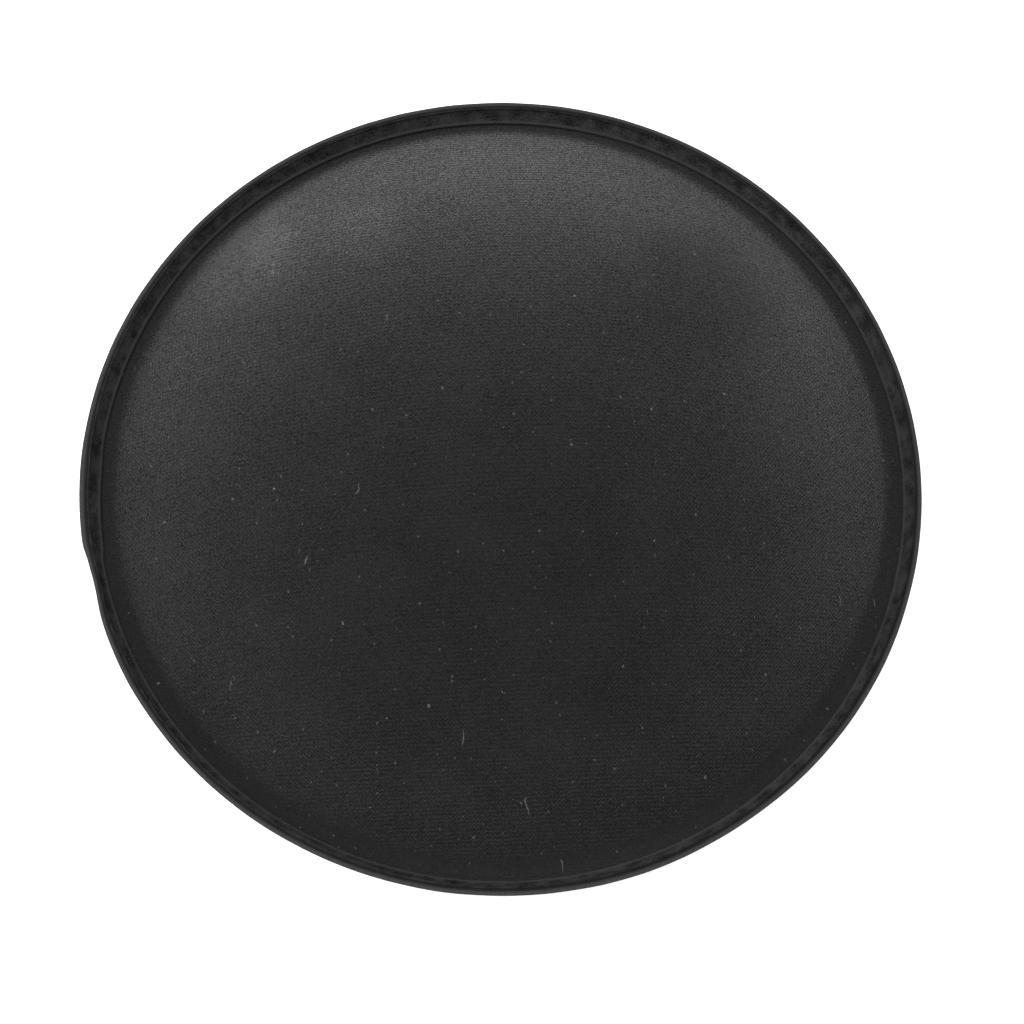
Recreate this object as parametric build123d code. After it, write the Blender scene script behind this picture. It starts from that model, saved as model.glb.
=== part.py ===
from build123d import *
import math
import os

# A round, cloth-faced practice pad that lies on a flat surface.
# Millimetres, +Z up. The origin is at the middle of the underside, and the
# lapped end of the edge tape is on the -X side.
# Every revolved piece is drawn as a half section, with radius along X and height along Z.

# Overall sizes
overall_radius = 76.2       # to the outside of the bound rim
crown_height = 22.5         # crown above the valley round its foot

# Layers, from the underside up
grip_thickness = 1.5        # non-slip rubber sheet
backing_thickness = 0.4     # woven cloth under the board
board_thickness = 3.0
sponge_thickness = 3.0      # soft layer over the rubber and the foam
rebound_thickness = 2.0     # gum rubber sheet, let into the top of the foam
valley_foam = 0.8           # the sponge where the seam presses it flat
face_thickness = 0.5        # knitted face cloth

# Insets, from the rim to the middle
valley_inset = 3.9          # lowest ring of the face inside the outside of the rim
grip_inset = 4.6            # grip sheet inside the edge of the board
board_inset = 0.8           # board inside the valley
foam_inset = 6.5            # moulded foam inside the edge of the board
rebound_inset = 12.0        # rubber sheet inside the edge of the foam

# Bends of the face and backing cloths
valley_bend = 4.0
turn_up_bend = 0.6          # where the face turns up into the rim
backing_bend = 1.2          # where the backing turns up round the board
backing_clearance = 1.3     # the backing's wall outside the edge of the board
rim_bend = 0.8              # where the backing turns out into the rim
ply_gap = 0.04              # between the two cloths inside the rim

# Bound rim: a flat edge that stands up and leans out all round the pad
rim_width = 2.5             # from the inner hem of the tape to the outside
rim_height = 2.8            # above the inner hem
rim_top_width = 0.7
rim_top_drop = 0.2          # the top slopes down to the outside
fold_inside = 0.05          # inside radius of the tape's folds at the top of the rim
rim_side_fillet = 1.0
tape_thickness = 0.35
hem_lift = 0.3              # inner hem above the face cloth that it is sewn to
outer_hem_length = 3.0      # tape below the outer corner of the rim
cord_clearance = 0.03

# Lapped end of the tape
lap_end_angle = 192.0
lap_length = 18.0

# Stitches that hold the outer hem
stitch_pitch = 3.0
stitch_length = 2.3
thread_diameter = 0.4
stitch_from_hem = 0.8
lap_margin = 1.5            # degrees past the lap where a stitch still climbs over it

# Heights
backing_bottom = grip_thickness
board_bottom = backing_bottom + backing_thickness
board_top = board_bottom + board_thickness
valley_height = board_top + valley_foam + face_thickness
hem_height = valley_height + tape_thickness + hem_lift

# Slope of the rim, which the hem and the peak of the tape set
hem_radius = overall_radius - rim_width
peak_radius = overall_radius - rim_top_width
rim_top_fillet = tape_thickness + fold_inside
rim_slope = math.atan2(rim_height, peak_radius - hem_radius)
up_slope = (math.cos(rim_slope), math.sin(rim_slope))
out_of_wall = (math.sin(rim_slope), -math.cos(rim_slope))

# Crown: an arc that runs smoothly into the bend of the valley
valley_radius = overall_radius - valley_inset
crown_slope = 2 * math.atan(crown_height / valley_radius)
crown_bend = valley_radius / math.sin(crown_slope) - valley_bend
crown_centre = valley_height + crown_height - crown_bend

# Radii
board_radius = valley_radius - board_inset
grip_radius = board_radius - grip_inset
foam_radius = board_radius - foam_inset
rebound_radius = foam_radius - rebound_inset

# Depths below the outside of the face
sponge_depth = face_thickness
foam_depth = sponge_depth + sponge_thickness
recess_depth = foam_depth + rebound_thickness

quarter = math.pi / 2


def point_on(centre, radius, angle):
    """A point on a circle in the half section, the angle in radians from +X."""
    return (centre[0] + radius * math.cos(angle), centre[1] + radius * math.sin(angle))


def arc(centre, radius, start, end):
    middle = (start + end) / 2
    return ThreePointArc(*[point_on(centre, radius, a) for a in (start, middle, end)])


def along(start, direction, distance):
    return (start[0] + direction[0] * distance, start[1] + direction[1] * distance)


# The upper side of the rim that the face cloth lies against, inside the tape
wall_foot = along((hem_radius, hem_height), out_of_wall, tape_thickness)
turn_centre_height = valley_height + turn_up_bend
turn_end = along(
    wall_foot,
    up_slope,
    (turn_centre_height - turn_up_bend * math.cos(rim_slope) - wall_foot[1]) / up_slope[1],
)
turn_centre = along(turn_end, out_of_wall, -turn_up_bend)

# The rim's thickness is what lies inside the tape, and the outer corner follows from it
rim_thickness = 2 * tape_thickness + face_thickness + backing_thickness + ply_gap
under_foot = along((hem_radius, hem_height), out_of_wall, rim_thickness)
corner = along(under_foot, up_slope, (overall_radius - under_foot[0]) / up_slope[0])
outer_hem = along(corner, up_slope, -outer_hem_length)

# Filler cord between the tape's two sides, outside the edges of both cloths
cord_fit = rim_thickness / 2 - tape_thickness
cord_radius = cord_fit - cord_clearance
middle_foot = along((hem_radius, hem_height), out_of_wall, rim_thickness / 2)
cord_outside = overall_radius - tape_thickness - cord_fit
cord_reach = (cord_outside - middle_foot[0]) / up_slope[0]
cord_centre = along(middle_foot, up_slope, cord_reach)
ply_reach = cord_reach - cord_fit - cord_clearance


def flange_from(turn):
    """A straight run from the end of a bend, up the rim to where both cloths stop."""
    stop = turn @ 1
    done = (stop.X - hem_radius) * up_slope[0] + (stop.Y - hem_height) * up_slope[1]
    return Line(stop, along((stop.X, stop.Y), up_slope, ply_reach - done))


def face_line(depth):
    """The face from the middle to the rim, at a depth below its outside."""
    crown = arc((0, crown_centre), crown_bend - depth, quarter, quarter - crown_slope)
    valley_centre = (valley_radius, valley_height + valley_bend)
    valley = arc(valley_centre, valley_bend + depth, -quarter - crown_slope, -quarter)
    floor = Line(
        (valley_radius, valley_height - depth), (turn_centre[0], valley_height - depth)
    )
    turn = arc(turn_centre, turn_up_bend + depth, -quarter, rim_slope - quarter)
    return [crown, valley, floor, turn, flange_from(turn)]


def backing_line(depth):
    """The backing from the middle to the rim, at a depth inside its outside."""
    wall = board_radius + backing_clearance
    under = along((hem_radius, hem_height), out_of_wall, rim_thickness - tape_thickness)
    wall_top = (
        under[1]
        + (wall + rim_bend - under[0]) * math.tan(rim_slope)
        - rim_bend / math.cos(rim_slope)
    )
    floor_end = wall - backing_bend
    floor = Line((0, backing_bottom + depth), (floor_end, backing_bottom + depth))
    turn = arc(
        (floor_end, backing_bottom + backing_bend), backing_bend - depth, -quarter, 0
    )
    rise = Line(turn @ 1, (wall - depth, wall_top))
    out = arc(
        (wall + rim_bend, wall_top), rim_bend + depth, math.pi, quarter + rim_slope
    )
    return [floor, turn, rise, out, flange_from(out)]


def between(lower, upper):
    """The half section between two lines that both start on the axis."""
    start = Line(lower[0] @ 0, upper[0] @ 0)
    end = Line(lower[-1] @ 1, upper[-1] @ 1)
    return make_face([*lower, end, *upper, start])


def turned(section, angle=360.0):
    return revolve(Plane.XZ * section, Axis.Z, angle)


def disc(radius, bottom, thickness):
    return Pos(0, 0, bottom) * Cylinder(
        radius, thickness, align=(Align.CENTER, Align.CENTER, Align.MIN)
    )


def grip_sheet():
    return disc(grip_radius, 0, grip_thickness)


def backing_cloth():
    return turned(between(backing_line(0), backing_line(backing_thickness)))


def base_board():
    return disc(board_radius, board_bottom, board_thickness)


def under_face(depth, radius):
    """A column on the board, cut off by the crown at a depth below the face."""
    column = disc(radius, board_top, crown_height + valley_foam + face_thickness)
    ball = Pos(0, 0, crown_centre) * Sphere(crown_bend - depth)
    return column & ball


def rebound_sheet():
    """It follows the crown, close under the sponge, where the sticks land."""
    return under_face(foam_depth, rebound_radius) - under_face(recess_depth, foam_radius)


def foam_crown():
    return under_face(foam_depth, foam_radius) - rebound_sheet()


def top_sponge():
    """It lies over the foam, and wraps the board's edge between the two cloths."""
    inside = turned(between(backing_line(backing_thickness), face_line(sponge_depth)))
    inside = inside & disc(turn_centre[0], 0, valley_height + crown_height)
    return inside - base_board() - under_face(foam_depth, foam_radius)


def face_cloth():
    return turned(between(face_line(face_thickness), face_line(0)))


def edge_cord():
    return turned(Pos(*cord_centre) * Circle(cord_radius))


def tape_layer(side, angle=360.0):
    """One thickness of tape round the rim, inside or outside its finished outline."""
    outline = FilletPolyline(
        (hem_radius, hem_height),
        (peak_radius, hem_height + rim_height),
        (overall_radius, hem_height + rim_height - rim_top_drop),
        corner,
        outer_hem,
        radius=(rim_top_fillet, rim_top_fillet, rim_side_fillet),
    )
    section = make_face(offset(outline, tape_thickness, side=side).edges())
    return turned(section, angle)


def edge_binding():
    """The tape goes once round the rim, and its end lies over its start."""
    lap_angle = math.degrees(lap_length / overall_radius)
    lap = Rot(0, 0, lap_end_angle - lap_angle) * tape_layer(Side.LEFT, lap_angle)
    return tape_layer(Side.RIGHT) + lap


def binding_stitches():
    """One straight stitch after another along the outer hem."""
    row = along(outer_hem, up_slope, stitch_from_hem)
    row = along(row, out_of_wall, thread_diameter / 2)
    count = round(2 * math.pi * row[0] / stitch_pitch)
    lap_start = lap_end_angle - math.degrees(lap_length / overall_radius)
    stitches = []
    for number in range(count):
        angle = number * 360 / count
        on_lap = lap_start - lap_margin < angle < lap_end_angle + lap_margin
        out = along(row, out_of_wall, tape_thickness) if on_lap else row
        stitch = Rot(90, 0, 0) * Cylinder(thread_diameter / 2, stitch_length)
        stitches.append(Rot(0, 0, angle) * Pos(out[0], 0, out[1]) * stitch)
    return Compound(children=stitches)


pieces = (
    grip_sheet,
    backing_cloth,
    base_board,
    rebound_sheet,
    foam_crown,
    top_sponge,
    face_cloth,
    edge_cord,
    edge_binding,
    binding_stitches,
)

os.makedirs("parts", exist_ok=True)
for piece in pieces:
    export_step(piece(), f"parts/{piece.__name__}.step")
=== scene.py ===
import bpy
import math
from mathutils import Matrix, Vector, noise


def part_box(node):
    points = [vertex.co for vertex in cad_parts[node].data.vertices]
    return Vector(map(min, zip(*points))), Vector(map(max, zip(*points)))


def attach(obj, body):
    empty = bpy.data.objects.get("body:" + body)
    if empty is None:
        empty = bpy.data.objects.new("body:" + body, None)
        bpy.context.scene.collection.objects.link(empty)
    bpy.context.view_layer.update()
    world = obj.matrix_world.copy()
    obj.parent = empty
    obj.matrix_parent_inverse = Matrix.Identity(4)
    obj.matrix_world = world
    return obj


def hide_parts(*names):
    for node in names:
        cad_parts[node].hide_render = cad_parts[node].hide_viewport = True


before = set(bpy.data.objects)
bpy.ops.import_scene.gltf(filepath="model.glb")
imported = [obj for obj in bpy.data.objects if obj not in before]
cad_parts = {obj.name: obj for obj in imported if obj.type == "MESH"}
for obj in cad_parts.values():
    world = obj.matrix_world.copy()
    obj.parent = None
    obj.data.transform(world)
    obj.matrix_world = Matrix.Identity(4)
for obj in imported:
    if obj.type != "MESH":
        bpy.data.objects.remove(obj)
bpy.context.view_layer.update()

mm = 0.001
mergeDistance = 0.002 * mm

# Places that several pieces share, read from the frame or kept as the maker's own sizes
boardLow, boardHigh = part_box("base_board")
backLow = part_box("backing_cloth")[0]
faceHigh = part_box("face_cloth")[1]
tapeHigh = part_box("edge_binding")[1]
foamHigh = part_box("foam_crown")[1]
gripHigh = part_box("grip_sheet")[1]

pad = {
    "radius": tapeHigh.x,  # outside of the rim
    "valleyRadius": tapeHigh.x - 3.9 * mm,
    "valleyHeight": boardHigh.z + 1.3 * mm,  # the sponge pressed flat, and the face cloth on it
    "crownTop": faceHigh.z,
    "valleyBend": 4.0 * mm,
    "turnUpBend": 0.6 * mm,
    "faceThickness": 0.5 * mm,
    "backThickness": 0.4 * mm,
    "tapeThickness": 0.35 * mm,
    "clothGap": 0.04 * mm,
    "lapGap": 0.02 * mm,  # between the two layers of tape
}
rim = {
    "width": 2.5 * mm,
    "height": 2.8 * mm,
    "topWidth": 0.7 * mm,
    "topDrop": 0.2 * mm,
    "hemLift": 0.3 * mm,
    "outerHemLength": 3.0 * mm,
    "cordClearance": 0.03 * mm,
}


def arcPoints(centre, radius, start, end, steps):
    # angles in degrees from +X towards +Z
    angles = [math.radians(start + (end - start) * k / steps) for k in range(steps + 1)]
    return [Vector((centre[0] + radius * math.cos(a), centre[1] + radius * math.sin(a))) for a in angles]


def roundedLine(corners, radii, steps=6):
    # straight runs, joined at the inner corners by arcs
    corners = [Vector(corner) for corner in corners]
    line = [corners[0]]
    for before, corner, after, radius in zip(corners, corners[1:], corners[2:], radii):
        back = (before - corner).normalized()
        on = (after - corner).normalized()
        half = back.angle(on) / 2
        start = corner + back * radius / math.tan(half)
        end = corner + on * radius / math.tan(half)
        centre = corner + (back + on).normalized() * radius / math.sin(half)
        first = math.degrees(math.atan2(start.y - centre.y, start.x - centre.x))
        last = math.degrees(math.atan2(end.y - centre.y, end.x - centre.x))
        sweep = (last - first + 180) % 360 - 180
        line += arcPoints(centre, radius, first, first + sweep, steps)
    return line + [corners[-1]]


def evenRuns(line, longest):
    # more points on the long straight runs, so that they can bulge
    finer = [line[0]]
    for before, after in zip(line, line[1:]):
        count = max(1, math.ceil((after - before).length / longest))
        finer += [before.lerp(after, k / count) for k in range(1, count + 1)]
    return finer


def leftOf(line):
    # the unit vector to the left of the line at each point, stretched at its corners
    sides = []
    for k, point in enumerate(line):
        before = (point - line[k - 1]).normalized() if k else (line[1] - point).normalized()
        after = (line[k + 1] - point).normalized() if k + 1 < len(line) else before
        middle = (before + after).normalized()
        sides.append(Vector((-middle.y, middle.x)) / max(0.5, middle.dot(before)))
    return sides


slope = math.atan2(rim["height"], rim["width"] - rim["topWidth"])
up = Vector((math.cos(slope), math.sin(slope)))  # outwards along the top of the rim
inward = Vector((math.sin(slope), -math.cos(slope)))  # from the top down into the rim
hemHeight = pad["valleyHeight"] + pad["tapeThickness"] + rim["hemLift"]
innerHem = Vector((pad["radius"] - rim["width"], hemHeight))
rimPeak = Vector((pad["radius"] - rim["topWidth"], hemHeight + rim["height"]))
rimShoulder = Vector((pad["radius"], rimPeak.y - rim["topDrop"]))
rimThickness = (
    2 * pad["tapeThickness"] + pad["faceThickness"] + pad["backThickness"] + pad["clothGap"]
)
outerWall = innerHem + inward * rimThickness
rimCorner = outerWall + up * (pad["radius"] - outerWall.x) / up.x
outerHem = rimCorner - up * rim["outerHemLength"]

crownSlope = 2 * math.atan((pad["crownTop"] - pad["valleyHeight"]) / pad["valleyRadius"])
crownBend = pad["valleyRadius"] / math.sin(crownSlope) - pad["valleyBend"]
crownCentre = Vector((0, pad["crownTop"] - crownBend))
wallFoot = innerHem + inward * pad["tapeThickness"]
turnEnd = wallFoot + up * (
    (pad["valleyHeight"] + pad["turnUpBend"] * (1 - math.cos(slope)) - wallFoot.y) / up.y
)
turnCentre = turnEnd - inward * pad["turnUpBend"]

# the filler cord lies between the tape's two sides, against its outer fold
cordFit = rimThickness / 2 - pad["tapeThickness"]
cordRadius = cordFit - rim["cordClearance"]
cordX = pad["radius"] - pad["tapeThickness"] - cordFit
middleFoot = innerHem + inward * rimThickness / 2
cordReach = (cordX - middleFoot.x) / up.x
cordCentre = middleFoot + up * cordReach
clothReach = cordReach - cordFit - rim["cordClearance"]  # both cloths stop beside the cord


def alongRim(point):
    # from a point of a cloth, out along the rim to where the cloths stop
    return point + up * (clothReach - (point - innerHem).dot(up))


def faceLine(depth, crownSteps=40):
    # from the middle of the crown, through the valley, up into the rim
    tilt = math.degrees(crownSlope)
    valleyCentre = (pad["valleyRadius"], pad["valleyHeight"] + pad["valleyBend"])
    line = arcPoints(crownCentre, crownBend - depth, 90, 90 - tilt, crownSteps)
    line += arcPoints(valleyCentre, pad["valleyBend"] + depth, -90 - tilt, -90, 8)[1:]
    line += arcPoints(turnCentre, pad["turnUpBend"] + depth, -90, math.degrees(slope) - 90, 6)
    return line + [alongRim(line[-1])]


pull = {
    # degrees round the rim, how far the outside stands out, and how wide the place is in degrees
    "swells": [
        (162, 0.20 * mm, 15),
        (228, -0.12 * mm, 26),
        (288, 0.17 * mm, 9),
        (324, 0.11 * mm, 15),
        (20, -0.09 * mm, 36),
    ],
    "lapSink": 0.20 * mm,  # under the lapped end of the tape
    "sinkBefore": 5,  # degrees over which it sinks ahead of the lap
    "riseFrom": 8,  # degrees past the lap's end where it comes back out
    "riseTo": 20,
    "lapEnd": 192.0,
    "lapLength": 18.0 * mm,
    "dent": 0.54 * mm,  # just past the lapped end, where the filler is pulled tight
    "dentAt": 195.2,
    "dentBefore": 4.3,
    "dentAfter": 4.2,
    "wobble": 0.05 * mm,
    "wobbleLength": 6 * mm,
}
lapAngle = math.degrees(pull["lapLength"] / pad["radius"])
lapLift = pad["tapeThickness"] + pad["lapGap"]


def smooth(value, low, high):
    share = min(1, max(0, (value - low) / (high - low)))
    return share * share * (3 - 2 * share)


def outsideShift(angle):
    # how far the outside of the rim stands out at an angle in degrees
    angle %= 360
    shift = 0
    for place, height, width in pull["swells"]:
        away = (angle - place + 180) % 360 - 180
        shift += height * math.exp(-((away / width) ** 2))
    away = angle - pull["dentAt"]
    width = pull["dentBefore"] if away < 0 else pull["dentAfter"]
    shift -= pull["dent"] * math.exp(-((away / width) ** 2))
    lapStart = pull["lapEnd"] - lapAngle
    shift -= pull["lapSink"] * smooth(angle, lapStart - pull["sinkBefore"], lapStart) * (
        1 - smooth(angle, pull["lapEnd"] + pull["riseFrom"], pull["lapEnd"] + pull["riseTo"])
    )
    a = math.radians(angle)
    place = Vector((math.cos(a), math.sin(a), 0.3)) * pad["radius"] / pull["wobbleLength"]
    return shift + pull["wobble"] * noise.noise(place)


def pressed(radius, angle):
    # the radius of a point of the rim as sewn: the inner hem keeps its place and the outside moves
    return radius + outsideShift(angle) * smooth(radius, innerHem.x, pad["radius"])


def pressRim(piece):
    for vertex in piece.data.vertices:
        x, y, z = vertex.co
        radius = math.hypot(x, y)
        if radius > innerHem.x:
            moved = pressed(radius, math.degrees(math.atan2(y, x)))
            vertex.co = (x * moved / radius, y * moved / radius, z)


def deselectAll():
    if bpy.context.mode != "OBJECT":
        bpy.ops.object.mode_set(mode="OBJECT")
    bpy.ops.object.select_all(action="DESELECT")


def pickUp(piece):
    deselectAll()
    piece.select_set(True)
    bpy.context.view_layer.objects.active = piece


def drawOutline(name, line, closed=False):
    # the outline is drawn from one loose point, which leaves the piece in edit mode
    deselectAll()
    bpy.ops.mesh.primitive_plane_add(size=mm)
    piece = bpy.context.object
    piece.name = piece.data.name = name
    bpy.ops.object.mode_set(mode="EDIT")
    bpy.ops.mesh.merge(type="CENTER")
    bpy.ops.transform.translate(value=(line[0].x, 0, line[0].y))
    for before, after in zip(line, line[1:]):
        step = after - before
        bpy.ops.mesh.extrude_region_move(TRANSFORM_OT_translate={"value": (step.x, 0, step.y)})
    if closed:
        bpy.ops.mesh.select_all(action="SELECT")
        bpy.ops.mesh.edge_face_add()
    return piece


def turnRound(piece, steps):
    # spins the outline round the middle of the pad, then closes the seam and the poles
    bpy.ops.mesh.select_all(action="SELECT")
    bpy.ops.mesh.delete(type="ONLY_FACE")
    bpy.ops.mesh.select_all(action="SELECT")
    bpy.ops.mesh.spin(steps=steps, angle=2 * math.pi, center=(0, 0, 0), axis=(0, 0, 1))
    bpy.ops.mesh.select_all(action="SELECT")
    bpy.ops.mesh.remove_doubles(threshold=mergeDistance)
    bpy.ops.mesh.normals_make_consistent(inside=False)
    bpy.ops.object.mode_set(mode="OBJECT")


def applyModifier(piece, kind, **settings):
    pickUp(piece)
    modifier = piece.modifiers.new(kind.title(), kind)
    for name, value in settings.items():
        setattr(modifier, name, value)
    bpy.ops.object.modifier_apply(modifier=modifier.name)


def faceUp(piece, wanted=1):
    # turns an open sheet over if its first face looks the other way
    if piece.data.polygons[0].normal.z * wanted < 0:
        pickUp(piece)
        bpy.ops.object.mode_set(mode="EDIT")
        bpy.ops.mesh.select_all(action="SELECT")
        bpy.ops.mesh.flip_normals()
        bpy.ops.object.mode_set(mode="OBJECT")


def finishPiece(piece, material, slotName, *nodes, angle=40):
    pickUp(piece)
    bpy.ops.object.shade_smooth_by_angle(angle=math.radians(angle))
    piece.data.materials.clear()
    piece.data.materials.append(material)
    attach(piece, "root")
    if nodes:
        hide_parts(*nodes)
    print("made", piece.name, len(piece.data.polygons), "faces")


def toLinear(text):
    # an sRGB hex colour as Blender's linear one
    parts = [int(text[k:k + 2], 16) / 255 for k in (1, 3, 5)]
    linear = [p / 12.92 if p <= 0.04045 else ((p + 0.055) / 1.055) ** 2.4 for p in parts]
    return (*linear, 1.0)


def startMaterial(name):
    material = bpy.data.materials.new(name)
    material.use_nodes = True
    tree = material.node_tree
    return material, tree, tree.nodes["Principled BSDF"]


def setInputs(tree, node, inputs):
    # a socket is linked, and a constant is set on the node itself
    for name, value in inputs.items():
        if isinstance(value, bpy.types.NodeSocket):
            tree.links.new(value, node.inputs[name])
        else:
            node.inputs[name].default_value = value


def addNode(tree, kind, inputs=None, **settings):
    node = tree.nodes.new(kind)
    for name, value in settings.items():
        setattr(node, name, value)
    setInputs(tree, node, inputs or {})
    return node


def addFibreWarp(tree, place, reach, length):
    # the same place, led astray by a noise
    wander = addNode(tree, "ShaderNodeTexNoise", {"Vector": place, "Scale": 1 / length}).outputs[1]
    return addNode(tree, "ShaderNodeVectorMath", {
        0: wander,
        1: (reach, reach, 0),
        2: place,
    }, operation="MULTIPLY_ADD").outputs[0]


def addLint(tree, place, kind):
    # specks or threads, one at most in every cell and of many sizes, as a share of the colour
    reach = kind["size"] / kind["spacing"]
    lying = addNode(tree, "ShaderNodeMapping", {
        "Vector": addFibreWarp(tree, place, kind["bend"], kind["bendLength"]),
        "Rotation": (0, 0, math.radians(kind["turn"])),
        "Scale": (1, 1 / kind["slender"], 1),
    }).outputs[0]
    cells = addNode(tree, "ShaderNodeTexVoronoi", {
        "Vector": lying,
        "Scale": 1 / kind["spacing"],
    }, voronoi_dimensions="2D")
    chance = addNode(tree, "ShaderNodeSeparateColor", {0: cells.outputs["Color"]}).outputs[0]
    size = addNode(tree, "ShaderNodeMapRange", {
        "Value": chance,
        "From Min": kind["rarity"],
        "To Max": reach,
    }).outputs[0]
    inside = addNode(tree, "ShaderNodeMath", {
        0: size,
        1: cells.outputs["Distance"],
    }, operation="SUBTRACT").outputs[0]
    return addNode(tree, "ShaderNodeMapRange", {
        "Value": inside,
        "From Max": 0.3 * reach,
        "To Max": kind["strength"],
    }).outputs[0]


def addRadius(tree, place):
    flat = addNode(tree, "ShaderNodeVectorMath", {0: place, 1: (1, 1, 0)}, operation="MULTIPLY")
    return addNode(tree, "ShaderNodeVectorMath", {0: flat.outputs[0]}, operation="LENGTH").outputs["Value"]


brushedKnit = {
    "shade": "#0f0f0f",  # between the yarns
    "yarn": "#1c1c1c",
    "valley": "#222222",  # painted light: the cloth is paler towards the valley, lifting the shade there
    "valleyWidth": 5 * mm,
    "valleyShare": 0.7,
    "lintColour": "#9a9a9a",
    "coursePitch": 0.793 * mm,
    "walePitch": 0.77 * mm,
    "turn": 2.2,  # degrees that the cloth lies askew
    "stretch": 0.097,  # how much closer the courses come at the foot of the crown
    "patch": 14 * mm,  # size of the slightly paler patches
    "toneRange": (0.35, 1.1),
    "bumpHeight": 0.12 * mm,
    "sheen": 0.49,
    "sheenRoughness": 0.45,
    "pile": 0.34 * mm,  # the brushed fibres stand up in tufts this far apart
    "pilePush": 0.9,  # how far they push a yarn off its line, in courses
    "pileHeight": 3.0,  # how far they stand up, in yarns
    "pileRange": (0.38, 0.62),  # values of the pile's noise from the hollows to the tufts
    "pileShare": (0.30, 1.80),  # of the sheen, in the hollows and on the tufts
    "worn": (65 * mm, 71 * mm, 0.84),  # radii over which the sheen fades a little, and to how much
    "hazeReach": 12 * mm,  # how far the edges of the haze wander
    "hazeLength": 9 * mm,
    "haze": [  # where the pile stands up or lies down: place, half width and change of the sheen
        ((-44 * mm, 47 * mm), 8 * mm, 0.30),
        ((-26 * mm, 47 * mm), 10 * mm, 0.26),
        ((-49 * mm, 47 * mm), 20 * mm, 0.30),
        ((36 * mm, 34 * mm), 21 * mm, -0.30),
    ],
    "lint": [
        {"spacing": 6 * mm, "size": 0.20 * mm, "rarity": 0.45, "strength": 0.28,
         "slender": 1.4, "turn": 20, "bend": 0.9 * mm, "bendLength": 0.5 * mm},
        {"spacing": 2.2 * mm, "size": 0.16 * mm, "rarity": 0.5, "strength": 0.16,
         "slender": 1.5, "turn": -35, "bend": 0.7 * mm, "bendLength": 0.4 * mm},
        {"spacing": 3.2 * mm, "size": 0.11 * mm, "rarity": 0.8, "strength": 0.25,
         "slender": 14, "turn": -50, "bend": 1.6 * mm, "bendLength": 2.4 * mm},
        {"spacing": 3.4 * mm, "size": 0.11 * mm, "rarity": 0.85, "strength": 0.25,
         "slender": 12, "turn": 65, "bend": 1.8 * mm, "bendLength": 2.0 * mm},
    ],
}


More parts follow.
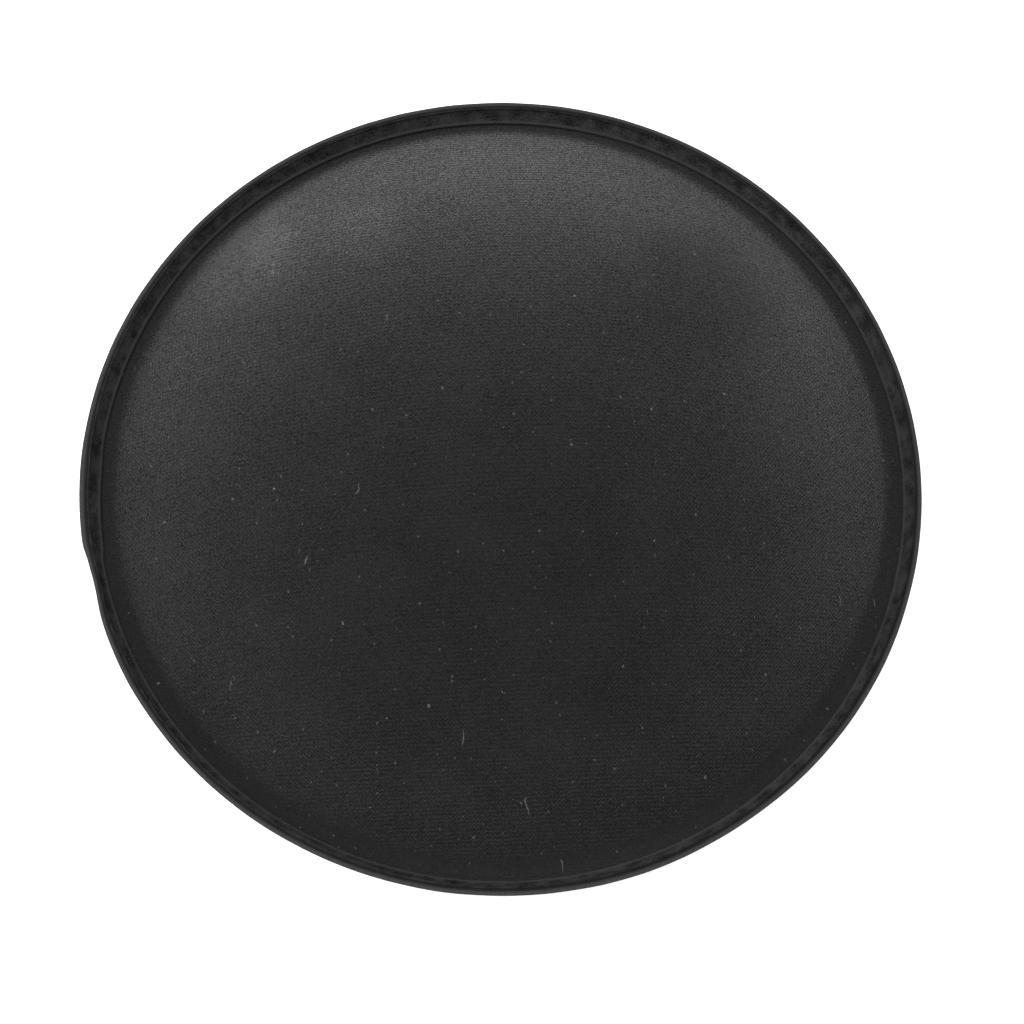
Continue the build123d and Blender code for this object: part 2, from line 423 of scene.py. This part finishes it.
def makeBrushedKnit():
    # Black polyester jersey with a brushed face, stretched: fine broken chevrons, and a dusty
    # sheen on every slope that turns away from the eye.
    look = brushedKnit
    material, tree, shader = startMaterial("brushed polyester knit")
    place = addNode(tree, "ShaderNodeTexCoord").outputs["Object"]
    lying = addNode(tree, "ShaderNodeMapping", {
        "Vector": place,
        "Rotation": (0, 0, -math.radians(look["turn"])),
    }).outputs[0]
    radius = addRadius(tree, place)
    outwards = addNode(tree, "ShaderNodeMath", {
        0: radius,
        1: pad["valleyRadius"],
    }, operation="DIVIDE").outputs[0]
    squared = addNode(tree, "ShaderNodeMath", {0: outwards, 1: 2.0}, operation="POWER").outputs[0]
    closer = addNode(tree, "ShaderNodeMath", {
        0: squared,
        1: look["stretch"],
        2: 1.0,
    }, operation="MULTIPLY_ADD").outputs[0]
    axes = addNode(tree, "ShaderNodeSeparateXYZ", {0: lying})
    across = addNode(tree, "ShaderNodeMath", {0: axes.outputs[0], 1: closer}, operation="MULTIPLY")
    along = addNode(tree, "ShaderNodeMath", {0: axes.outputs[1], 1: closer}, operation="MULTIPLY")
    # the two legs of each loop lean together, so the courses run in small chevrons
    wale = addNode(tree, "ShaderNodeMath", {
        0: across.outputs[0],
        1: 1 / look["walePitch"],
    }, operation="MULTIPLY").outputs[0]
    leg = addNode(tree, "ShaderNodeMath", {0: wale, 1: 0.5}, operation="PINGPONG").outputs[0]
    course = addNode(tree, "ShaderNodeMath", {
        0: along.outputs[0],
        1: 1 / look["coursePitch"],
        2: leg,
    }, operation="MULTIPLY_ADD").outputs[0]
    # the pile pushes each yarn a little off its line
    pile = addNode(tree, "ShaderNodeTexNoise", {
        "Vector": place,
        "Scale": 1 / look["pile"],
        "Detail": 3.0,
        "Roughness": 0.75,
    }).outputs[0]
    pushed = addNode(tree, "ShaderNodeMath", {
        0: pile,
        1: look["pilePush"],
        2: course,
    }, operation="MULTIPLY_ADD").outputs[0]
    turns = addNode(tree, "ShaderNodeMath", {0: pushed, 1: 2 * math.pi}, operation="MULTIPLY").outputs[0]
    loops = addNode(tree, "ShaderNodeMath", {0: turns}, operation="SINE").outputs[0]
    yarns = addNode(tree, "ShaderNodeMapRange", {
        "Value": loops,
        "From Min": -1.0,
        "From Max": 1.0,
    }).outputs[0]
    height = addNode(tree, "ShaderNodeMath", {
        0: pile,
        1: look["pileHeight"],
        2: yarns,
    }, operation="MULTIPLY_ADD").outputs[0]
    bump = addNode(tree, "ShaderNodeBump", {
        "Strength": 0.5,
        "Distance": look["bumpHeight"],
        "Height": height,
    }).outputs[0]
    patches = addNode(tree, "ShaderNodeTexNoise", {
        "Vector": place,
        "Scale": 1 / look["patch"],
        "Detail": 3.0,
    }).outputs[0]
    tone = addNode(tree, "ShaderNodeMath", {0: pile, 1: yarns}, operation="MULTIPLY").outputs[0]
    tone = addNode(tree, "ShaderNodeMath", {0: tone, 1: patches}, operation="ADD").outputs[0]
    darkest, palest = look["toneRange"]
    share = addNode(tree, "ShaderNodeMapRange", {
        "Value": tone,
        "From Min": darkest,
        "From Max": palest,
    }).outputs[0]
    cloth = addNode(tree, "ShaderNodeMix", {
        0: share,
        6: toLinear(look["shade"]),
        7: toLinear(look["yarn"]),
    }, data_type="RGBA").outputs[2]
    # painted light: the colour turns paler towards the valley, lifting its shade
    paintedValleyLight = addNode(tree, "ShaderNodeMapRange", {
        "Value": radius,
        "From Min": pad["valleyRadius"] - look["valleyWidth"],
        "From Max": pad["valleyRadius"],
        "To Max": look["valleyShare"],
    }).outputs[0]
    cloth = addNode(tree, "ShaderNodeMix", {
        0: paintedValleyLight,
        6: cloth,
        7: toLinear(look["valley"]),
    }, data_type="RGBA").outputs[2]
    for kind in look["lint"]:
        cloth = addNode(tree, "ShaderNodeMix", {
            0: addLint(tree, place, kind),
            6: cloth,
            7: toLinear(look["lintColour"]),
        }, data_type="RGBA").outputs[2]
    # the sheen breaks up with the pile, and is stronger where the pile stands the other way
    hollow, tuft = look["pileRange"]
    low, high = look["pileShare"]
    sheen = addNode(tree, "ShaderNodeMapRange", {
        "Value": pile,
        "From Min": hollow,
        "From Max": tuft,
        "To Min": low,
        "To Max": high,
    }).outputs[0]
    ragged = addFibreWarp(tree, place, look["hazeReach"], look["hazeLength"])
    drift = look["hazeReach"] / 2  # the noise is a half on average
    start, end, left = look["worn"]
    lift = addNode(tree, "ShaderNodeMapRange", {
        "Value": radius,
        "From Min": start,
        "From Max": end,
        "To Min": 1.0,
        "To Max": left,
    }).outputs[0]
    for (x, y), width, strength in look["haze"]:
        offset = addNode(tree, "ShaderNodeVectorMath", {
            0: ragged,
            1: (x + drift, y + drift, 0),
        }, operation="SUBTRACT")
        near = addNode(tree, "ShaderNodeMapRange", {
            "Value": addRadius(tree, offset.outputs[0]),
            "From Min": width,
            "From Max": 0.3 * width,
            "To Max": strength,
        }, interpolation_type="SMOOTHSTEP").outputs[0]
        lift = addNode(tree, "ShaderNodeMath", {0: lift, 1: near}, operation="ADD").outputs[0]
    sheen = addNode(tree, "ShaderNodeMath", {0: sheen, 1: lift}, operation="MULTIPLY").outputs[0]
    sheen = addNode(tree, "ShaderNodeMath", {0: sheen, 1: look["sheen"]}, operation="MULTIPLY").outputs[0]
    setInputs(tree, shader, {
        "Base Color": cloth,
        "Roughness": 0.9,
        "Specular IOR Level": 0.0,
        "Sheen Weight": sheen,
        "Sheen Roughness": look["sheenRoughness"],
        "Normal": bump,
    })
    return material


nappedTape = {
    "shade": "#141414",
    "fibre": "#383838",
    "foldColour": "#333333",  # painted highlight: paler along the inner fold, where the rolled hem catches the light
    "fold": (0.12, 0.02),  # shares of the rim's width, from none of the colour to all of it
    "topColour": "#161616",  # painted shade: darker along the top of the rim, where the nap is looked into
    "top": (0.50, 0.74),
    "edgeColour": "#3e3e3e",  # painted highlight: paler along the outer edge, where the nap stands against the light
    "edge": (0.74, 1.02),
    "tipGain": 1.6,  # the tips of the nap take most of these colours
    "napLength": 0.3 * mm,
    "tuftLength": 2.5 * mm,
    "tuftShare": 0.6,
    "napRange": (0.62, 1.0),
    "bumpHeight": 0.10 * mm,
}


def makeNappedTape():
    # Black brushed binding tape with a short felt-like nap: painted shade darkens it along the top,
    # painted highlights make it pale along its fold and its outer edge.
    look = nappedTape
    material, tree, shader = startMaterial("napped binding tape")
    place = addNode(tree, "ShaderNodeTexCoord").outputs["Object"]
    nap = addNode(tree, "ShaderNodeTexNoise", {
        "Vector": place,
        "Scale": 1 / look["napLength"],
        "Detail": 3.0,
        "Roughness": 0.75,
    }).outputs[0]
    tufts = addNode(tree, "ShaderNodeTexNoise", {
        "Vector": place,
        "Scale": 1 / look["tuftLength"],
        "Detail": 2.0,
    }).outputs[0]
    mixed = addNode(tree, "ShaderNodeMath", {
        0: tufts,
        1: look["tuftShare"],
        2: nap,
    }, operation="MULTIPLY_ADD").outputs[0]
    low, high = look["napRange"]
    share = addNode(tree, "ShaderNodeMapRange", {
        "Value": mixed,
        "From Min": low,
        "From Max": high,
    }).outputs[0]
    cloth = addNode(tree, "ShaderNodeMix", {
        0: share,
        6: toLinear(look["shade"]),
        7: toLinear(look["fibre"]),
    }, data_type="RGBA").outputs[2]
    across = addNode(tree, "ShaderNodeAttribute", attribute_name="acrossTape").outputs["Fac"]
    # painted highlights along the fold and the outer edge, painted shade along the top
    for part in ("fold", "top", "edge"):
        none, full = look[part]
        near = addNode(tree, "ShaderNodeMapRange", {
            "Value": across,
            "From Min": none,
            "From Max": full,
        }, interpolation_type="SMOOTHSTEP").outputs[0]
        tipped = addNode(tree, "ShaderNodeMath", {0: near, 1: nap}, operation="MULTIPLY").outputs[0]
        stronger = addNode(tree, "ShaderNodeMath", {
            0: tipped,
            1: look["tipGain"],
        }, operation="MULTIPLY", use_clamp=True).outputs[0]
        cloth = addNode(tree, "ShaderNodeMix", {
            0: stronger,
            6: cloth,
            7: toLinear(look[part + "Colour"]),
        }, data_type="RGBA").outputs[2]
    bump = addNode(tree, "ShaderNodeBump", {
        "Strength": 0.7,
        "Distance": look["bumpHeight"],
        "Height": mixed,
    }).outputs[0]
    setInputs(tree, shader, {
        "Base Color": cloth,
        "Roughness": 1.0,
        "Specular IOR Level": 0.0,
        "Normal": bump,
    })
    return material


wovenBacking = {
    "shade": "#141414",
    "yarn": "#2b2b2b",
    "pitch": 0.55 * mm,
    "fuzz": 0.6 * mm,
    "bumpHeight": 0.1 * mm,
}


def makeWovenBacking():
    # Black plain-weave polyester: square threads, a dull surface with a fine grid.
    look = wovenBacking
    material, tree, shader = startMaterial("plain woven polyester")
    place = addNode(tree, "ShaderNodeTexCoord").outputs["Object"]
    axes = addNode(tree, "ShaderNodeSeparateXYZ", {0: place})
    waves = []
    for axis in (0, 1):
        turns = addNode(tree, "ShaderNodeMath", {
            0: axes.outputs[axis],
            1: math.pi / look["pitch"],
        }, operation="MULTIPLY").outputs[0]
        waves.append(addNode(tree, "ShaderNodeMath", {0: turns}, operation="SINE").outputs[0])
    over = addNode(tree, "ShaderNodeMath", {0: waves[0], 1: waves[1]}, operation="MULTIPLY").outputs[0]
    height = addNode(tree, "ShaderNodeMath", {0: over}, operation="ABSOLUTE").outputs[0]
    fuzz = addNode(tree, "ShaderNodeTexNoise", {"Vector": place, "Scale": 1 / look["fuzz"]}).outputs[0]
    share = addNode(tree, "ShaderNodeMath", {0: height, 1: fuzz}, operation="MULTIPLY").outputs[0]
    cloth = addNode(tree, "ShaderNodeMix", {
        0: share,
        6: toLinear(look["shade"]),
        7: toLinear(look["yarn"]),
    }, data_type="RGBA").outputs[2]
    bump = addNode(tree, "ShaderNodeBump", {
        "Strength": 0.6,
        "Distance": look["bumpHeight"],
        "Height": height,
    }).outputs[0]
    setInputs(tree, shader, {
        "Base Color": cloth,
        "Roughness": 0.85,
        "Specular IOR Level": 0.3,
        "Sheen Weight": 0.05,
        "Normal": bump,
    })
    return material


def makeSpeckled(name, dark, light, grain, detail, bumpHeight, roughness, specular=0.4):
    # a solid whose grain is a noise of one size, for the boards, rubbers, foams and threads
    material, tree, shader = startMaterial(name)
    place = addNode(tree, "ShaderNodeTexCoord").outputs["Object"]
    speckle = addNode(tree, "ShaderNodeTexNoise", {
        "Vector": place,
        "Scale": 1 / grain,
        "Detail": detail,
        "Roughness": 0.65,
    }).outputs[0]
    share = addNode(tree, "ShaderNodeMapRange", {
        "Value": speckle,
        "From Min": 0.3,
        "From Max": 0.7,
    }).outputs[0]
    colour = addNode(tree, "ShaderNodeMix", {
        0: share,
        6: toLinear(dark),
        7: toLinear(light),
    }, data_type="RGBA").outputs[2]
    bump = addNode(tree, "ShaderNodeBump", {
        "Strength": 0.5,
        "Distance": bumpHeight,
        "Height": speckle,
    }).outputs[0]
    setInputs(tree, shader, {
        "Base Color": colour,
        "Roughness": roughness,
        "Specular IOR Level": specular,
        "Normal": bump,
    })
    return material


faceCloth = {
    "segments": 256,
    "offMiddle": 0.8 * mm,  # the padding lies this much nearer one side of the rim
    "offTowards": 105,  # degrees
    "offWhole": 0.8,  # share of the valley's radius from which all of the crown lies off the middle
    "settles": 2 * mm,  # it comes back to its place this far inside the valley
    "ripple": 0.10 * mm,  # how far the stretched cloth is out of true
    "rippleStops": 6 * mm,  # inside the valley
    "rippleLength": 22 * mm,
    "cutWidth": 157 * mm,  # a disc that size was cut before it was stretched
}


def makeFaceCloth(material):
    piece = drawOutline("face_cloth_knit", faceLine(0))
    turnRound(piece, faceCloth["segments"])
    faceUp(piece)
    valley = pad["valleyRadius"]
    towards = math.radians(faceCloth["offTowards"])
    shift = Vector((math.cos(towards), math.sin(towards), 0)) * faceCloth["offMiddle"]
    for vertex in piece.data.vertices:
        radius = math.hypot(vertex.co.x, vertex.co.y)
        vertex.co += shift * smooth(radius, 0, faceCloth["offWhole"] * valley) * (
            1 - smooth(radius, valley - faceCloth["settles"], innerHem.x)
        )
        free = 1 - smooth(radius, valley - faceCloth["rippleStops"], valley)
        vertex.co.z += free * faceCloth["ripple"] * noise.noise(vertex.co / faceCloth["rippleLength"])
    applyModifier(piece, "SOLIDIFY", thickness=pad["faceThickness"], offset=-1)
    pressRim(piece)
    finishPiece(piece, material, "face_knit", "face_cloth")


tape = {
    "topRound": 0.60 * mm,
    "cornerRound": 1.0 * mm,
    "bead": 0.30 * mm,  # the rolled inner hem
    "beadInset": 0.14 * mm,
    "stepAngle": 0.75,
    "climb": 6.0,  # degrees over which the end climbs onto the start
    "settleFrom": 2.7,  # degrees before the end where it slopes down again
    "settleTo": 0.4,
    "tuck": 0.30 * mm,  # the end is turned under and sewn flat into the layer below
    "run": 0.6 * mm,  # longest straight stretch of its section
    "cutWidth": 10.8 * mm,
}


def tapeSection():
    # the tape's thickness, all round: outside, rolled hem, inside, cut edge
    thickness = pad["tapeThickness"]
    radii = (tape["topRound"], tape["topRound"], tape["cornerRound"])
    outside = roundedLine([innerHem, rimPeak, rimShoulder, rimCorner, outerHem], radii)
    outside = evenRuns(outside, tape["run"])
    inside = [point - side * thickness for point, side in zip(outside, leftOf(outside))]
    reach = math.degrees(math.asin(tape["beadInset"] / tape["bead"]))
    # angles for the hem's arc are taken from the direction up the wall
    wall = math.degrees(slope)
    hemCentre = innerHem + inward * (thickness - tape["bead"])
    hem = arcPoints(hemCentre, tape["bead"], wall + reach, wall + 270, 12)
    edgeCentre = (outside[-1] + inside[-1]) / 2
    edgeStart = math.degrees(math.atan2(*(inside[-1] - edgeCentre).yx))
    edge = arcPoints(edgeCentre, thickness / 2, edgeStart, edgeStart - 180, 4)[1:-1]
    return outside[:0:-1] + hem + inside[1:] + edge


def tapeLift(angle):
    # the end of the tape lies over its start, and its last stretch is sewn down flat
    end = pull["lapEnd"] + 360
    start = end - lapAngle
    lift = lapLift * smooth(angle, start - tape["climb"], start)
    lift *= 1 - smooth(angle, end - tape["settleFrom"], end - tape["settleTo"])
    return lift - tape["tuck"] * smooth(angle, end - tape["settleTo"], end)


def rimOutward(place):
    # off the rim, from the line along its middle
    rise = min(max(0.0, (place - middleFoot).dot(up)), cordReach)
    return (place - middleFoot - up * rise).normalized()


def makeRimTape(material):
    piece = drawOutline("edge_tape", tapeSection(), closed=True)
    sweep = 360 + lapAngle
    steps = round(sweep / tape["stepAngle"])
    # drawn out straight first, a metre to the radian, so that each end knows which turn it is on
    bpy.ops.mesh.extrude_repeat(steps=steps, offset=(0, math.radians(sweep) / steps, 0))
    bpy.ops.mesh.select_all(action="SELECT")
    bpy.ops.mesh.normals_make_consistent(inside=False)
    bpy.ops.object.mode_set(mode="OBJECT")
    start = pull["lapEnd"] - lapAngle
    across = piece.data.attributes.new("acrossTape", "FLOAT", "POINT")
    for vertex in piece.data.vertices:
        angle = start + math.degrees(vertex.co.y)
        place = Vector((vertex.co.x, vertex.co.z))
        across.data[vertex.index].value = (place.x - innerHem.x) / rim["width"]
        lifted = Vector((pressed(place.x, angle), place.y)) + rimOutward(place) * tapeLift(angle)
        turn = math.radians(angle)
        vertex.co = (lifted.x * math.cos(turn), lifted.x * math.sin(turn), lifted.y)
    finishPiece(piece, material, "edge_tape", "edge_binding")


cord = {
    "strands": 3,
    "lay": 4.0 * mm,  # length of one turn of the strands
    "lobe": 0.14,
    "aroundSegments": 540,
    "sectionSegments": 15,
}


def makeRimCord(material):
    thick, major = cordRadius, cordCentre.x
    deselectAll()
    bpy.ops.mesh.primitive_torus_add(
        location=(0, 0, cordCentre.y),
        major_radius=major,
        minor_radius=thick,
        major_segments=cord["aroundSegments"],
        minor_segments=cord["sectionSegments"],
    )
    piece = bpy.context.object
    piece.name = piece.data.name = "rim_cord"
    bpy.ops.object.transform_apply(location=True, rotation=False, scale=False)
    turns = round(2 * math.pi * major / cord["lay"])
    for vertex in piece.data.vertices:
        x, y, z = vertex.co
        angle = math.atan2(y, x)
        out, rise = math.hypot(x, y) - major, z - cordCentre.y
        lobes = cord["strands"] * math.atan2(rise, out) + turns * angle
        share = 1 - cord["lobe"] * (1 - abs(math.cos(lobes / 2)))
        radius = major + out * share
        vertex.co = (radius * math.cos(angle), radius * math.sin(angle), cordCentre.y + rise * share)
    pressRim(piece)
    finishPiece(piece, material, "cotton_cord", "edge_cord", angle=60)


backCloth = {
    "bend": 1.2 * mm,
    "rimBend": 0.8 * mm,
    "clearOfBoard": 1.3 * mm,
    "segments": 320,
    "run": 2.5 * mm,  # longest straight stretch of its section
    "puckers": 64,
    "puckerDepth": 0.22 * mm,
    "puckerLength": 7 * mm,
    "puckerDrift": 0.18,  # radians that a pucker strays round the pad
    "cutWidth": 158 * mm,
}


def backLine(depth):
    # under the board, up round its edge and out into the rim
    wall = boardHigh.x + backCloth["clearOfBoard"]
    bend, rimBend = backCloth["bend"], backCloth["rimBend"]
    under = innerHem + inward * (rimThickness - pad["tapeThickness"])
    height = under.y + (wall + rimBend - under.x) * up.y / up.x - rimBend / up.x
    line = [Vector((0, backLow.z + depth))]
    line += arcPoints((wall - bend, backLow.z + bend), bend - depth, -90, 0, 8)
    line += arcPoints((wall + rimBend, height), rimBend + depth, 180, 90 + math.degrees(slope), 5)
    return line + [alongRim(line[-1])]


def makeBackCloth(material):
    piece = drawOutline("back_cloth", evenRuns(backLine(0), backCloth["run"]))
    turnRound(piece, backCloth["segments"])
    faceUp(piece, -1)
    edge = backLine(0)[1].x
    for vertex in piece.data.vertices:
        x, y, z = vertex.co
        radius, angle = math.hypot(x, y), math.atan2(y, x)
        near = smooth(radius, edge - backCloth["puckerLength"], edge) * (z < backLow.z + mm)
        drift = backCloth["puckerDrift"] * noise.noise(Vector((math.cos(angle), math.sin(angle), 0)) * 6)
        depth = 0.5 + 0.5 * math.sin(backCloth["puckers"] * (angle + drift))
        # no two are equally deep
        depth *= 0.6 + 0.4 * noise.noise(Vector((math.cos(angle), math.sin(angle), 1)) * 9)
        vertex.co.z -= near * backCloth["puckerDepth"] * depth
    applyModifier(piece, "SOLIDIFY", thickness=pad["backThickness"], offset=-1)
    pressRim(piece)
    finishPiece(piece, material, "backing_weave", "backing_cloth")


sponge = {"thickness": 3.0 * mm, "segments": 160, "fill": 0.95}


def makeCushion(material):
    top = faceLine(pad["faceThickness"])
    top = [point for point in top if point.x <= turnCentre.x and point.y >= pad["valleyHeight"] - mm]
    top.append(Vector((turnCentre.x, pad["valleyHeight"] - pad["faceThickness"])))
    below = crownBend - pad["faceThickness"] - sponge["thickness"]
    foamAngle = math.degrees(math.acos(foamHigh.x / below))
    under = arcPoints(crownCentre, below, 90, foamAngle, 30)
    edge = backLine(pad["backThickness"])[1:-1]
    edge = [point for point in edge if point.x < turnCentre.x]
    step = [
        Vector((foamHigh.x, boardHigh.z)),
        Vector((boardHigh.x, boardHigh.z)),
        Vector((boardHigh.x, boardLow.z)),
    ]
    piece = drawOutline("sponge_cushion", under + step + edge + top[::-1])
    turnRound(piece, sponge["segments"])
    finishPiece(piece, material, "sponge", "top_sponge")


grip = {
    "studPitch": 5.0 * mm,
    "studRadius": 1.2 * mm,
    "studHeight": 0.4 * mm,
    "studRound": 0.25 * mm,
    "studSides": 14,
    "studMargin": 1.2 * mm,  # from the studs to the border
    "border": 2.4 * mm,
    "edgeRound": 0.35 * mm,
    "segments": 192,
}


def joinCopies(pattern, places, name):
    # one copy of the pattern at each place, each with its own mesh, joined into the first
    copies = []
    for place in places:
        copy = pattern.copy()
        copy.data = pattern.data.copy()
        copy.data.transform(place)
        bpy.context.collection.objects.link(copy)
        copies.append(copy)
    bpy.data.objects.remove(pattern)
    deselectAll()
    for copy in copies:
        copy.select_set(True)
    bpy.context.view_layer.objects.active = copies[0]
    bpy.ops.object.join()
    joined = bpy.context.object
    joined.name = joined.data.name = name
    return joined


def makeGrip(material):
    radius, thickness = gripHigh.x, gripHigh.z
    floor = grip["studHeight"]
    inner = radius - grip["border"]
    corners = [
        (0, floor),
        (inner - floor, floor),
        (inner, 0),
        (radius, 0),
        (radius, thickness),
        (0, thickness),
    ]
    sheet = drawOutline("grip", roundedLine(corners, [grip["edgeRound"]] * 4, steps=4))
    turnRound(sheet, grip["segments"])
    # one stud: a low drum with a rounded foot end, let into the sheet
    deselectAll()
    bpy.ops.mesh.primitive_cylinder_add(
        vertices=grip["studSides"],
        radius=grip["studRadius"],
        depth=2 * floor,
        location=(0, 0, floor),
    )
    stud = bpy.context.object
    bpy.ops.object.transform_apply(location=True, rotation=False, scale=False)
    bpy.ops.object.mode_set(mode="EDIT")
    bpy.ops.mesh.select_all(action="DESELECT")
    bpy.ops.object.mode_set(mode="OBJECT")
    for edge in stud.data.edges:
        edge.select = all(stud.data.vertices[k].co.z < floor / 2 for k in edge.vertices)
    bpy.ops.object.mode_set(mode="EDIT")
    bpy.ops.mesh.bevel(offset=grip["studRound"], segments=3, affect="EDGES")
    bpy.ops.object.mode_set(mode="OBJECT")
    # rows at 60 degrees, every other one half a pitch along
    pitch = grip["studPitch"]
    rowPitch = pitch * math.sin(math.radians(60))
    farthest = inner - grip["studRadius"] - grip["studMargin"]
    rows = int(inner / rowPitch) + 1
    places = []
    for row in range(-rows, rows + 1):
        for column in range(-rows - 1, rows + 2):
            x = (column + 0.5 * (row % 2)) * pitch
            y = row * rowPitch
            if math.hypot(x, y) < farthest:
                places.append(Matrix.Translation((x, y, 0)))
    studs = joinCopies(stud, places, "studs")
    pickUp(sheet)
    studs.select_set(True)
    bpy.ops.object.join()
    sheet.name = sheet.data.name = "grip_rubber_sheet"
    finishPiece(sheet, material, "grip_rubber", "grip_sheet", angle=50)


stitch = {
    "pitch": 3.0 * mm,
    "length": 2.3 * mm,
    "thread": 0.4 * mm,
    "fromHem": 0.8 * mm,
    "standOff": 0.4,  # share of the thread that its middle stands off the tape
    "sink": 0.12 * mm,  # the ends pull into the tape
    "turned": 4.0,  # degrees that each stitch leans
    "climb": 4,  # degrees over which the row climbs onto the lap
    "drop": 1,
}


def makeStitches(material):
    half = stitch["length"] / 2
    deselectAll()
    bpy.ops.mesh.primitive_uv_sphere_add(segments=10, ring_count=8, radius=stitch["thread"] / 2)
    one = bpy.context.object
    bpy.ops.object.mode_set(mode="EDIT")
    bpy.ops.transform.rotate(value=math.pi / 2, orient_axis="X", center_override=(0, 0, 0))
    bpy.ops.object.mode_set(mode="OBJECT")
    middle = 0.02 * stitch["thread"]
    for vertex in one.data.vertices:
        side = 0 if abs(vertex.co.y) < middle else math.copysign(1, vertex.co.y)
        vertex.co.y += side * (half - stitch["thread"] / 2)
        vertex.co.x -= stitch["sink"] * abs(side)
    # the thread stands off the tape along the wall's outward side
    row = outerHem + up * stitch["fromHem"] + inward * stitch["thread"] * stitch["standOff"]
    lean = Matrix.Rotation(math.atan2(-inward.y, inward.x), 4, "Y")
    lean = lean @ Matrix.Rotation(math.radians(stitch["turned"]), 4, "X")
    count = round(2 * math.pi * row.x / stitch["pitch"])
    start, end = pull["lapEnd"] - lapAngle, pull["lapEnd"]
    places = []
    for number in range(count):
        angle = 360 * number / count
        onLap = smooth(angle, start - stitch["climb"], start) * (1 - smooth(angle, end, end + stitch["drop"]))
        out = row + inward * lapLift * onLap
        place = Matrix.Translation((out.x, 0, out.y)) @ lean
        places.append(Matrix.Rotation(math.radians(angle), 4, "Z") @ place)
    piece = joinCopies(one, places, "hem_stitches")
    pressRim(piece)
    finishPiece(piece, material, "thread", "binding_stitches", angle=60)


stage = {
    "floorSize": 4.0,
    "floorColour": "#f4f4f4",
    "floorGlow": 0.6,
    "worldStrength": 0.85,
    "camera": {
        "target": Vector((0, 0, 8 * mm)),
        "distance": 7 * pad["radius"],
        "tilt": 19.77,
        "lens": 102.72,
        "shiftX": 0.0108,
        "shiftY": -0.0287,
    },
    "lightsAim": Vector((0, 0, 20 * mm)),
    "lights": [  # name, place, width and power in watts
        ("over", (-0.25, 0.3, 1.37), 0.9, 10.8),
        ("left", (-1.25, 0, 0.5), 0.7, 10.7),
        ("front", (0, -1.1, 0.8), 0.9, 1.3),
        ("right", (1.25, 0.2, 0.5), 0.7, 1.5),
    ],
}


def makeStage():
    deselectAll()
    bpy.ops.mesh.primitive_plane_add(size=stage["floorSize"])
    floor = bpy.context.object
    floor.name = "floor"
    material, tree, shader = startMaterial("white studio paper")
    setInputs(tree, shader, {
        "Base Color": toLinear(stage["floorColour"]),
        "Roughness": 0.9,
        "Emission Color": (1, 1, 1, 1),
        "Emission Strength": stage["floorGlow"],
    })
    floor.data.materials.append(material)
    world = bpy.data.worlds.new("studio")
    bpy.context.scene.world = world
    world.use_nodes = True
    setInputs(world.node_tree, world.node_tree.nodes["Background"], {
        "Color": (1, 1, 1, 1),
        "Strength": stage["worldStrength"],
    })
    bpy.context.scene.view_settings.view_transform = "Standard"


def addLight(name, place, width, power):
    deselectAll()
    bpy.ops.object.light_add(type="AREA", location=place)
    light = bpy.context.object
    light.name = name
    light.data.shape = "DISK"
    light.data.size = width
    light.data.energy = power
    towards = stage["lightsAim"] - Vector(place)
    light.rotation_euler = towards.to_track_quat("-Z", "Y").to_euler()


def makeCamera():
    view = stage["camera"]
    tilt = math.radians(view["tilt"])
    back = Vector((0, -math.sin(tilt), math.cos(tilt)))
    bpy.ops.object.camera_add(location=view["target"] + back * view["distance"], rotation=(tilt, 0, 0))
    camera = bpy.context.object
    camera.data.lens = view["lens"]
    camera.data.shift_x = view["shiftX"]
    camera.data.shift_y = view["shiftY"]
    bpy.context.scene.camera = camera


makeStage()
makeCamera()
for light in stage["lights"]:
    addLight(*light)
print("stage, light and camera set")

makeFaceCloth(makeBrushedKnit())
makeRimTape(makeNappedTape())
makeBackCloth(makeWovenBacking())
# Neoprene-like moulded rubber: near black, satin, with a fine mould grain
makeGrip(makeSpeckled("moulded grip rubber", "#151515", "#202020", 0.6 * mm, 3, 0.05 * mm, 0.62))
# Open-cell polyurethane sponge: matt grey with open pores
makeCushion(makeSpeckled("open-cell sponge", "#2a2a2a", "#6a6a6a", 0.9 * mm, 4, 0.4 * mm, 0.95, 0.2))
# Cotton filler: off-white, matt and fibrous
makeRimCord(makeSpeckled("cotton filler cord", "#b9b1a0", "#e2dccd", 0.25 * mm, 3, 0.06 * mm, 0.95, 0.2))
# Bonded polyester thread: black with a slight gloss along its plies
makeStitches(makeSpeckled("polyester thread", "#101010", "#2e2e2e", 0.2 * mm, 2, 0.05 * mm, 0.5))

# CAD pieces that keep their shape
kept = {
    # Medium-density fibreboard: flat brown, with fine fibres
    "base_board": makeSpeckled("fibreboard", "#8c6a45", "#b08a5f", 0.7 * mm, 5, 0.04 * mm, 0.8, 0.3),
    # Gum rubber sheet: amber, satin and slightly cloudy
    "rebound_sheet": makeSpeckled("gum rubber", "#a8733c", "#bd8a50", 6 * mm, 3, 0.05 * mm, 0.55),
    # Moulded EVA foam: charcoal, with closed cells
    "foam_crown": makeSpeckled("moulded EVA foam", "#2c2c2e", "#434345", 0.5 * mm, 3, 0.08 * mm, 0.85, 0.3),
}
for node, material in kept.items():
    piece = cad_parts[node]
    piece.data.materials.clear()
    piece.data.materials.append(material)
print("carried-over CAD pieces painted")
